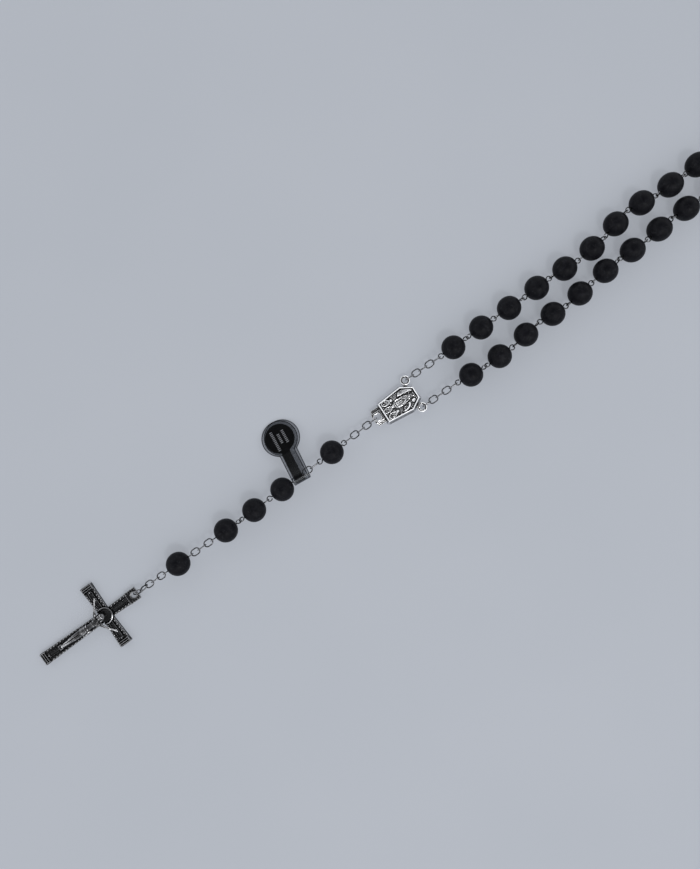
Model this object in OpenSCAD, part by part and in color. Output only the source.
// Five-decade rosary laid out flat: crucifix, pendant chain, centrepiece and bead loop.
// The origin is the centre of the centrepiece's back face. +Y runs from the crucifix
// towards the loop, +X is the right-hand strand and +Z is up, off the surface it lies on.

/* [Wire and links] */
// Diameter of the wire of the links and of the eyes of the bead pins
wire_d = 0.42; // [0.38:0.02:0.44]
// Free play between two hooked wires
play = 0.08; // [0.06:0.01:0.1]
// Length of a chain link, along the middle of its wire
link_len = 3.14; // [3:0.02:3.3]
// Length of the three longer links that carry the label
label_link_len = 3.56; // [3.3:0.02:3.7]
// Width of a chain link, along the middle of its wire
link_w = 2.15; // [2.05:0.05:2.25]

/* [Beads] */
// Diameter of a stone bead
bead_d = 8; // [7.8:0.1:8.2]
// Diameter of the bore of a bead
bore_d = 0.7; // [0.6:0.05:1]
// Radius of the eye of a bead pin, along the middle of its wire
eye_r = 0.85; // [0.8:0.01:0.9]
// Distance from the middle of a bead to the outer end of its eye, along the middle of the wire
eye_reach = 5.935; // [5.9:0.005:6.1]
// The same distance on the three small beads of the pendant
small_reach = 6.055; // [5.9:0.005:6.1]

/* [Centrepiece] */
// Height of the plaque, from the lower block to the top edge
plaque_h = 13.4; // [12.5:0.1:14.5]
// Half of the plaque's width at its bottom edge
plaque_bottom = 3.7; // [3.4:0.1:4]
// Half of the plaque's width at its shoulders
plaque_shoulder = 4.6; // [4.4:0.1:4.8]
// Half of the plaque's width at its top edge
plaque_top = 2.15; // [2:0.05:2.4]
// Thickness of the plaque with its raised frame
plaque_t = 2.8; // [2.6:0.1:3.2]
// Turn of the centrepiece against the pendant chain, in degrees
centre_turn = 3.5; // [0:0.5:5]
// Outer diameter of an ear
ear_d = 3.5; // [3.4:0.1:3.7]
// Diameter of the holes that links hook through
hole_d = 1.7; // [1.6:0.1:1.8]

/* [Crucifix] */
// Length of the crucifix
cross_len = 39.5; // [36:0.5:42]
// Span of its arms
cross_span = 24; // [22:0.5:26]
// Half of a bar's width beside the crossing
bar_inner = 1.85; // [1.7:0.05:2]
// Half of a bar's width at its end
bar_outer = 2.25; // [2.1:0.05:2.5]
// Distance from the top end to the crossing
crossing_drop = 13.4; // [12:0.1:14]
// Height of the raised panels over the back face
panel_z = 1.6; // [1.5:0.05:1.8]
// Diameter of the halo disc
halo_d = 5.8; // [5:0.1:6.4]
// Turn of the crucifix against the chain, in degrees
cross_turn = -0.7; // [-5:0.1:5]

/* [Label] */
// Diameter of the label's clear disc
label_d = 12.4; // [11:0.1:13]
// Width of the label's strap
strap_w = 5.7; // [5:0.1:5.8]
// Distance from the fold to the middle of the disc
label_reach = 14.6; // [13:0.1:16]
// Lean of the strap towards the centrepiece, in degrees
label_lean = 7; // [0:1:8]

/* [Loop] */
// Outward turn of each strand behind its first decade, in degrees
turn_out = 60; // [50:1:65]
// Gap between the last eyes of the two strands
apex_gap = 0.5; // [0.4:0.1:2]

/* [Hidden] */
$fn = 48;
metal = "dimgray";
stone = "#1c1c1f";
hook = wire_d + play;                      // distance between two hooked wires
lug_z = 1.4;                               // height of the middle of every lug
lug_t = 0.9;                               // thickness of the centrepiece's lugs
cross_lug_t = 0.6;                         // thickness of the crucifix's lug
lug_play = 0.3;                            // free play between a lug's hole and the wire in it
lug_flare = 0.25;                          // depth of the countersinks of a lug's hole
bead_z = bead_d / 2;                       // beads rest on the surface
seat = hole_d / 2 - wire_d / 2 - lug_play; // from a hole's middle to the wire in it
lug_step = seat + hook / 2;                // from a hole's middle to its first contact
link_step = link_len - hook;               // from contact to contact over a link
label_link_step = label_link_len - hook;
bead_step = 2 * eye_reach - hook;          // from contact to contact over a bead
small_step = 2 * small_reach - hook;
ramp = asin((bead_z - lug_z) / (lug_step + 5 * link_step));  // slope of the chain at a lug
flat = 0;                                  // roll of a link or eye that lies flat
edge = 90;                                 // roll of a link or eye that stands on edge

// A step is [length, heading, pitch, roll of the near end, roll of the far end]. Headings
// are degrees from +Y towards +X. A link has the same roll at both ends.
function dir(h, pitch = 0) = [sin(h) * cos(pitch), cos(h) * cos(pitch), sin(pitch)];
function contacts(start, steps) =
    [for (i = 0, p = start; i <= len(steps);
          p = i < len(steps) ? p + steps[i][0] * dir(steps[i][1], steps[i][2]) : p,
          i = i + 1) p];
function total(v, count) = count <= 0 ? 0 : v[count - 1] + total(v, count - 1);
function turned(p, angle) = [p[0] * cos(angle) + p[1] * sin(angle),
                             p[1] * cos(angle) - p[0] * sin(angle), p[2]];
function link_row(rolls, h, pitch, length = link_step) =
    [for (roll = rolls) [length, h, pitch, roll, roll]];

// The centrepiece's own points, before its turn.
plaque_low = -0.46 * plaque_h;
plaque_high = plaque_low + plaque_h;
shoulder_y = plaque_high - 4;
ear_x = 5.35;
ear_y = plaque_high - 1.1;
block_end = plaque_low - 3.9;
block_hole_y = block_end + 1.6;
function centre_point(x, y) = turned([x, y, lug_z], centre_turn);

// Pendant chain: 5 links, a large bead, 3 label links, 3 small beads, 3 links, a large bead
// and 5 links, from the centrepiece down to the crucifix.
PENDANT = concat(
    link_row([edge, flat, edge, flat, edge], 179, ramp),
    [[bead_step, 179, 0, flat, flat]],
    link_row([edge, flat, edge], 180, 0, label_link_step),
    [[small_step, 180, 0, flat, flat]],
    [[small_step, 180, 0, edge, 45]],
    [[small_step, 181.5, 0, -45, edge]],
    link_row([flat, edge, flat], 181.5, 0),
    [[bead_step, 181.5, 0, edge, edge]],
    link_row([flat, edge, flat, 62, 124], 181.5, -ramp));
pendant_start = centre_point(0, block_hole_y) + lug_step * dir(179, ramp);
pendant_at = contacts(pendant_start, PENDANT);
cross_hole = pendant_at[len(PENDANT)] + lug_step * dir(181.5, -ramp);

// One strand of the loop, from an ear to the middle of the third decade.
RUNS = [["link", 5], ["bead", 10], ["link", 3], ["bead", 1], ["link", 3],
        ["bead", 10], ["link", 3], ["bead", 1], ["link", 3], ["bead", 5]];
KINDS = [for (run = RUNS) for (k = [1 : run[1]]) run[0]];
LENGTHS = [for (kind = KINDS) kind == "bead" ? bead_step : link_step];
first_curved = 15;                         // the step behind the first decade
ramp_links = 5;
// Outward headings of the ear chain and of the first ten beads, which lie a little askew
SWAY = [[-2.8, [-1, -1, -2, 1, -5, 5, 14, -9, 0, 0]],
        [1.5, [6, 1, -7, 5, -6, -4, 2, -5, 3, 0]]];
// Rolls of the outer eyes along a decade, in degrees; the next bead's eye crosses each
TWISTS = [45, 5, 70, 12, flat, 50, 78, 20, 65, flat];
function sway(side, i) =
    let (lists = SWAY[side < 0 ? 0 : 1])
    i < ramp_links ? lists[0] : lists[1][i - ramp_links];
function straight_steps(side) =
    [for (i = [0 : first_curved - 1])
        [LENGTHS[i], side * sway(side, i), i < ramp_links ? ramp : 0]];
ear_point = [centre_point(-ear_x, ear_y), centre_point(ear_x, ear_y)];
function strand_start(side) =
    ear_point[side < 0 ? 0 : 1] + lug_step * dir(side * sway(side, 0), ramp);
// Behind the first decade a strand turns outward on one arc and then inward on a wider one,
// until it crosses the other strand's end square to the middle line.
turn_in = turn_out + 90;
curved_len = total(LENGTHS, len(LENGTHS)) - total(LENGTHS, first_curved);
apex_x = apex_gap / 2 + wire_d / 2 + hook / 2;
function out_radius(x0) =
    let (out = turn_out * PI / 180, in = turn_in * PI / 180,
         share = 1 - cos(turn_out), rest = cos(turn_out))
    (curved_len * rest - in * (x0 - apex_x)) / (out * rest + in * share);
function in_radius(x0) = (out_radius(x0) * (1 - cos(turn_out)) + x0 - apex_x) / cos(turn_out);
function bend(s, r_out, r_in) =
    let (s_out = r_out * turn_out * PI / 180)
    s < s_out ? s / r_out * 180 / PI : turn_out - (s - s_out) / r_in * 180 / PI;
function run_start(run) = total([for (r = RUNS) r[1]], run);
function run_of(i) = max([for (r = [0 : len(RUNS) - 1]) if (run_start(r) <= i) r]);
function near_roll(side, i, run, k) =
    KINDS[i] == "link" ? (k % 2 == 0 ? edge : flat)
        : k == 0 ? flat : side * (TWISTS[k - 1] + 90);
function far_roll(side, i, run, k) =
    KINDS[i] == "link" ? near_roll(side, i, run, k)
        : i == len(KINDS) - 1 ? (side < 0 ? flat : edge)
        : k == RUNS[run][1] - 1 ? flat : side * TWISTS[k];
function strand_steps(side) =
    let (x0 = abs(contacts(strand_start(side), straight_steps(side))[first_curved][0]),
         r_out = out_radius(x0), r_in = in_radius(x0), done = total(LENGTHS, first_curved))
    [for (i = [0 : len(KINDS) - 1])
        let (s = total(LENGTHS, i) + LENGTHS[i] / 2 - done, run = run_of(i), k = i - run_start(run))
        [LENGTHS[i],
         side * (i < first_curved ? sway(side, i) : bend(s, r_out, r_in)),
         i < ramp_links ? ramp : 0,
         near_roll(side, i, run, k), far_roll(side, i, run, k)]];
STRANDS = [strand_steps(-1), strand_steps(1)];
STRANDS_AT = [contacts(strand_start(-1), STRANDS[0]), contacts(strand_start(1), STRANDS[1])];

fold_r = 1.85;                             // inner radius of the label's fold round the chain
film_t = 0.2;                              // thickness of the label's film
disc_t = 2 * film_t + 0.1;                 // thickness of the label where both layers meet
label_tilt = asin((bead_z - disc_t / 2 - 0.05) / (label_reach + label_d / 2));
join_x = 9;                                // distance from the fold at which the two layers meet

SIDES = ["left", "right"];
STRAND_NODES = ["ear_link_1", "ear_link_2", "ear_links_3_to_5",
    "decade_1_near_beads", "decade_1_near_pins", "decade_1_far_beads", "decade_1_far_pins",
    "our_father_1_bead", "our_father_1_wires", "decade_2_beads", "decade_2_pins",
    "our_father_2_bead", "our_father_2_wires", "half_decade_beads", "half_decade_pins"];
NODES = concat(
    ["centrepiece"],
    [for (i = [1 : 5]) str("upper_link_", i)],
    ["upper_our_father_bead", "upper_our_father_pin"],
    [for (i = [1 : 3]) str("label_link_", i)],
    ["label_tag"],
    [for (i = [1 : 3]) str("hail_mary_bead_", i)],
    [for (i = [1 : 3]) str("hail_mary_pin_", i)],
    [for (i = [1 : 3]) str("lower_link_", i)],
    ["lower_our_father_bead", "lower_our_father_pin"],
    [for (i = [1 : 5]) str("cross_link_", i)],
    ["crucifix", "corpus"],
    [for (side = SIDES) for (name = STRAND_NODES) str(side, "_", name)]);
node = "all";

// Puts children that run along +Y at a point, with a heading, a pitch and a roll.
module along(p, h, pitch = 0, roll = 0) {
    translate(p)
        rotate([0, 0, -h])
            rotate([pitch, 0, 0])
                rotate([0, roll, 0])
                    children();
}

module half_ring(r) {
    rotate_extrude(angle = 180)
        translate([r, 0])
            circle(d = wire_d);
}

// An oval link along +Y, whose near wire crosses the origin.
module link(length) {
    r = link_w / 2;
    translate([0, length - r, 0])
        half_ring(r);
    translate([0, r, 0])
        rotate([0, 0, 180])
            half_ring(r);
    for (side = [-1, 1])
        translate([side * r, r, 0])
            rotate([-90, 0, 0])
                cylinder(d = wire_d, h = length - 2 * r);
}

module placed_link(p, step) {
    color(metal)
        along(p, step[1], step[2], step[3])
            translate([0, -hook / 2, 0])
                link(step[0] + hook);
}

// Bead pins and beads are drawn from their middle, along +Y.
module eye(roll, reach) {
    rotate([0, roll, 0])
        translate([0, reach - eye_r, 0])
            rotate_extrude()
                translate([eye_r, 0])
                    circle(d = wire_d);
}

module pin(near, far, reach) {
    rod_half = reach - 2 * eye_r;
    rod_d = 0.94 * wire_d;
    translate([0, -rod_half, 0])
        rotate([-90, 0, 0])
            cylinder(d = rod_d, h = 2 * rod_half);
    eye(far, reach);
    rotate([0, 0, 180])
        eye(-near, reach);
}

module at_bead(p, step) {
    along(p + step[0] / 2 * dir(step[1], step[2]), step[1], step[2])
        children();
}

module placed_pin(p, step) {
    color(metal)
        at_bead(p, step)
            pin(step[3], step[4], (step[0] + hook) / 2);
}

module placed_bead(p, step) {
    color(stone)
        at_bead(p, step)
            difference() {
                sphere(d = bead_d);
                rotate([-90, 0, 0])
                    cylinder(d = bore_d, h = bead_d + 1, center = true);
            }
}

module pendant_link(i) {
    placed_link(pendant_at[i], PENDANT[i]);
}

module pendant_bead(i) {
    placed_bead(pendant_at[i], PENDANT[i]);
}

module pendant_pin(i) {
    placed_pin(pendant_at[i], PENDANT[i]);
}

// The pieces of one kind between two steps of a strand.
module strand_pieces(s, first, last, part) {
    for (i = [first : last]) {
        p = STRANDS_AT[s][i];
        step = STRANDS[s][i];
        if (part == "bead" && KINDS[i] == "bead")
            placed_bead(p, step);
        if (part == "wire" && KINDS[i] == "bead")
            placed_pin(p, step);
        if (part == "wire" && KINDS[i] == "link")
            placed_link(p, step);
    }
}

function plaque_outline(grow, right = 0) =
    [[-plaque_bottom - grow, plaque_low - grow],
     [plaque_bottom + grow + right, plaque_low - grow],
     [plaque_shoulder + grow + right, shoulder_y],
     [plaque_top + grow + right, plaque_high + grow],
     [-plaque_top - grow, plaque_high + grow],
     [-plaque_shoulder - grow, shoulder_y]];

module plaque() {
    frame_w = 0.6;
    floor_z = plaque_t - 0.8;
    tier_z = 0.9;                          // the lower tier is wider on the right
    linear_extrude(tier_z)
        polygon(plaque_outline(0.25, 0.65));
    difference() {
        translate([0, 0, tier_z])
            linear_extrude(plaque_t - tier_z)
                polygon(plaque_outline(0));
        translate([0, 0, floor_z])
            linear_extrude(plaque_t)
                polygon(plaque_outline(-frame_w));
    }
}

// A standing robed figure with a kneeling figure on each side, in low relief.
module relief() {
    floor_z = plaque_t - 0.8;
    head_r = 0.6;
    translate([0, 0, floor_z]) {
        linear_extrude(0.45)
            polygon([[-1.3, -1.6], [1.3, -1.6], [0.9, 2.6], [0.45, 3.9], [-0.45, 3.9], [-0.9, 2.6]]);
        translate([0, 4.3, 0])
            intersection() {
                sphere(r = head_r);
                cylinder(r = 1, h = 1);
            }
        for (x = [-2.1, 0, 2.1])
            translate([x, -4.2, 0]) {
                linear_extrude(0.4)
                    polygon([[-0.75, -0.9], [0.75, -0.9], [0.4, 0.9], [-0.4, 0.9]]);
                translate([0, 1.2, 0])
                    cylinder(r = 0.4, h = 0.5);
            }
    }
}

// A hole through a lug, countersunk on both faces.
module lug_hole(t) {
    cylinder(d = hole_d, h = t + 4, center = true);
    for (turn = [0, 180])
        rotate([turn, 0, 0])
            translate([0, 0, t / 2 - lug_flare])
                cylinder(r1 = hole_d / 2, r2 = hole_d / 2 + 2 * lug_flare, h = 2 * lug_flare);
}

module ear(side) {
    slope = atan2(plaque_high - shoulder_y, plaque_shoulder - plaque_top);
    neck_w = 1.4;
    neck_len = 2.6;
    translate([side * ear_x, ear_y, lug_z]) {
        cylinder(d = ear_d, h = lug_t, center = true);
        rotate([0, 0, -side * slope])
            translate([-neck_w / 2, -neck_len, -lug_t / 2])
                cube([neck_w, neck_len, lug_t]);
    }
}

module lower_block() {
    block_w = 3.5;
    tab_w = 5.8;
    tab_t = 0.9;
    translate([-block_w / 2, block_end, lug_z - lug_t / 2])
        cube([block_w, plaque_low - block_end + 0.5, lug_t]);
    translate([-tab_w / 2, block_end + 0.5, lug_z - lug_t / 2])
        cube([tab_w, plaque_low - block_end, tab_t]);
}

module centrepiece() {
    color("silver")
        rotate([0, 0, -centre_turn])
            difference() {
                union() {
                    plaque();
                    relief();
                    lower_block();
                    ear(-1);
                    ear(1);
                }
                for (p = [[-ear_x, ear_y], [ear_x, ear_y], [0, block_hole_y]])
                    translate([p[0], p[1], lug_z])
                        lug_hole(lug_t);
            }
}

// The crucifix is drawn with its hole at the origin and its foot along -Y.
lug_margin = 1.6;                          // from the hole to the top end
crossing_y = lug_margin - crossing_drop;
foot_y = lug_margin - cross_len;
end_h = 2.2;                               // height of the barred end blocks

module cross_outline() {
    arm = cross_span / 2;
    polygon([[-bar_outer, lug_margin], [bar_outer, lug_margin],
             [bar_inner, crossing_y + bar_inner], [arm, crossing_y + bar_outer],
             [arm, crossing_y - bar_outer], [bar_inner, crossing_y - bar_inner],
             [bar_outer, foot_y], [-bar_outer, foot_y],
             [-bar_inner, crossing_y - bar_inner], [-arm, crossing_y - bar_outer],
             [-arm, crossing_y + bar_outer], [-bar_inner, crossing_y + bar_inner]]);
}

module cross_panels() {
    strip = 1.3;
    arm_panel = cross_span - 2 * end_h - 1;
    translate([-strip / 2, foot_y + end_h + 0.6, 0])
        cube([strip, crossing_y - foot_y - end_h, panel_z]);
    translate([-strip / 2, crossing_y, 0])
        cube([strip, crossing_drop - lug_margin - 2.6, panel_z]);
    translate([-arm_panel / 2, crossing_y - strip / 2, 0])
        cube([arm_panel, strip, panel_z]);
    translate([0, crossing_y, 0])
        cylinder(d = halo_d, h = panel_z);
    translate([-bar_outer + 0.15, foot_y + 0.15, 0])
        cube([2 * bar_outer - 0.3, end_h - 0.3, panel_z - 0.05]);
    for (side = [-1, 1])
        translate([side * (cross_span / 2 - end_h / 2), crossing_y, (panel_z - 0.05) / 2])
            cube([end_h - 0.3, 2 * bar_outer - 0.3, panel_z - 0.05], center = true);
}

module crucifix() {
    plate_t = 1.3;
    lug_len = lug_margin + 2.6;
    lug_low = lug_z - cross_lug_t / 2;
    color("silver")
        translate([cross_hole[0], cross_hole[1], 0])
            rotate([0, 0, cross_turn])
                difference() {
                    union() {
                        linear_extrude(plate_t)
                            cross_outline();
                        cross_panels();
                        translate([-bar_outer, lug_margin - lug_len, lug_low])
                            cube([2 * bar_outer, lug_len, cross_lug_t]);
                    }
                    translate([-bar_outer - 1, -1.5, -1])
                        cube([2 * bar_outer + 2, lug_len + 1, 1 + lug_low]);
                    translate([0, 0, lug_z])
                        lug_hole(cross_lug_t);
                }
}

// A rounded limb between two points of the figure.
module limb(a, ra, b, rb) {
    hull() {
        translate(a)
            sphere(r = ra, $fn = 20);
        translate(b)
            sphere(r = rb, $fn = 20);
    }
}

module figure() {
    chest = 2.35;
    limb([-0.75, -3.4, chest], 0.75, [-0.45, -6.4, chest - 0.1], 0.7);
    limb([0.75, -3.4, chest], 0.75, [0.45, -6.4, chest - 0.1], 0.7);
    limb([0, -6.9, chest - 0.1], 1.15, [0, -8.8, chest - 0.1], 1.2);
    limb([0.1, -0.6, chest + 0.3], 0.95, [0, -3, chest], 0.6);
    for (side = [-1, 1]) {
        limb([side * 1.4, -3, chest], 0.45, [side * 3.9, -1.5, chest - 0.2], 0.36);
        limb([side * 3.9, -1.5, chest - 0.2], 0.36, [side * 6.3, 0.2, chest - 0.35], 0.34);
        limb([side * 0.6, -9, chest - 0.1], 0.75, [side * 0.55, -12.6, chest + 0.1], 0.55);
        limb([side * 0.55, -12.6, chest + 0.1], 0.55, [side * 0.3, -16.6, chest - 0.3], 0.4);
    }
}

module corpus() {
    color("gainsboro")
        translate([cross_hole[0], cross_hole[1], 0])
            rotate([0, 0, cross_turn])
                translate([0, crossing_y, 0])
                    intersection() {
                        figure();
                        translate([-10, -20, panel_z])
                            cube([20, 24, 4]);
                    }
}

function teardrop(r, tip) =
    let (start = acos(r / tip), count = 24)
    concat([for (i = [0 : count]) let (a = start + (360 - 2 * start) * i / count) r * [cos(a), sin(a)]],
           [[tip, 0]]);

// The label is drawn along +X from the middle of its fold, which runs along Y.
module folded_film() {
    rotate([90, 0, 0])
        linear_extrude(strap_w, center = true)
            difference() {
                polygon(teardrop(fold_r + film_t, join_x));
                polygon(teardrop(fold_r, join_x - 1.2));
            }
    translate([join_x - 1.5, -strap_w / 2, -disc_t / 2])
        cube([label_reach - join_x, strap_w, disc_t]);
    translate([label_reach, 0, -disc_t / 2])
        cylinder(d = label_d, h = disc_t, $fn = 96);
}

label_at = pendant_at[8] + 1.5 * dir(180);

module label_tag() {
    color("#303238")
        translate(label_at)
            rotate([0, 0, 180 - label_lean])
                rotate([0, label_tilt, 0])
                    folded_film();
}

function shown(name) = node == "all" || node == name;

if (shown("centrepiece")) centrepiece();
for (i = [1 : 5]) if (shown(str("upper_link_", i))) pendant_link(i - 1);
if (shown("upper_our_father_bead")) pendant_bead(5);
if (shown("upper_our_father_pin")) pendant_pin(5);
for (i = [1 : 3]) if (shown(str("label_link_", i))) pendant_link(5 + i);
if (shown("label_tag")) label_tag();
for (i = [1 : 3]) if (shown(str("hail_mary_bead_", i))) pendant_bead(8 + i);
for (i = [1 : 3]) if (shown(str("hail_mary_pin_", i))) pendant_pin(8 + i);
for (i = [1 : 3]) if (shown(str("lower_link_", i))) pendant_link(11 + i);
if (shown("lower_our_father_bead")) pendant_bead(15);
if (shown("lower_our_father_pin")) pendant_pin(15);
for (i = [1 : 5]) if (shown(str("cross_link_", i))) pendant_link(15 + i);
if (shown("crucifix")) crucifix();
if (shown("corpus")) corpus();
for (s = [0, 1]) {
    side = SIDES[s];
    if (shown(str(side, "_ear_link_1"))) strand_pieces(s, 0, 0, "wire");
    if (shown(str(side, "_ear_link_2"))) strand_pieces(s, 1, 1, "wire");
    if (shown(str(side, "_ear_links_3_to_5"))) strand_pieces(s, 2, 4, "wire");
    if (shown(str(side, "_decade_1_near_beads"))) strand_pieces(s, 5, 9, "bead");
    if (shown(str(side, "_decade_1_near_pins"))) strand_pieces(s, 5, 9, "wire");
    if (shown(str(side, "_decade_1_far_beads"))) strand_pieces(s, 10, 14, "bead");
    if (shown(str(side, "_decade_1_far_pins"))) strand_pieces(s, 10, 14, "wire");
    if (shown(str(side, "_our_father_1_bead"))) strand_pieces(s, 15, 21, "bead");
    if (shown(str(side, "_our_father_1_wires"))) strand_pieces(s, 15, 21, "wire");
    if (shown(str(side, "_decade_2_beads"))) strand_pieces(s, 22, 31, "bead");
    if (shown(str(side, "_decade_2_pins"))) strand_pieces(s, 22, 31, "wire");
    if (shown(str(side, "_our_father_2_bead"))) strand_pieces(s, 32, 38, "bead");
    if (shown(str(side, "_our_father_2_wires"))) strand_pieces(s, 32, 38, "wire");
    if (shown(str(side, "_half_decade_beads"))) strand_pieces(s, 39, 43, "bead");
    if (shown(str(side, "_half_decade_pins"))) strand_pieces(s, 39, 43, "wire");
}
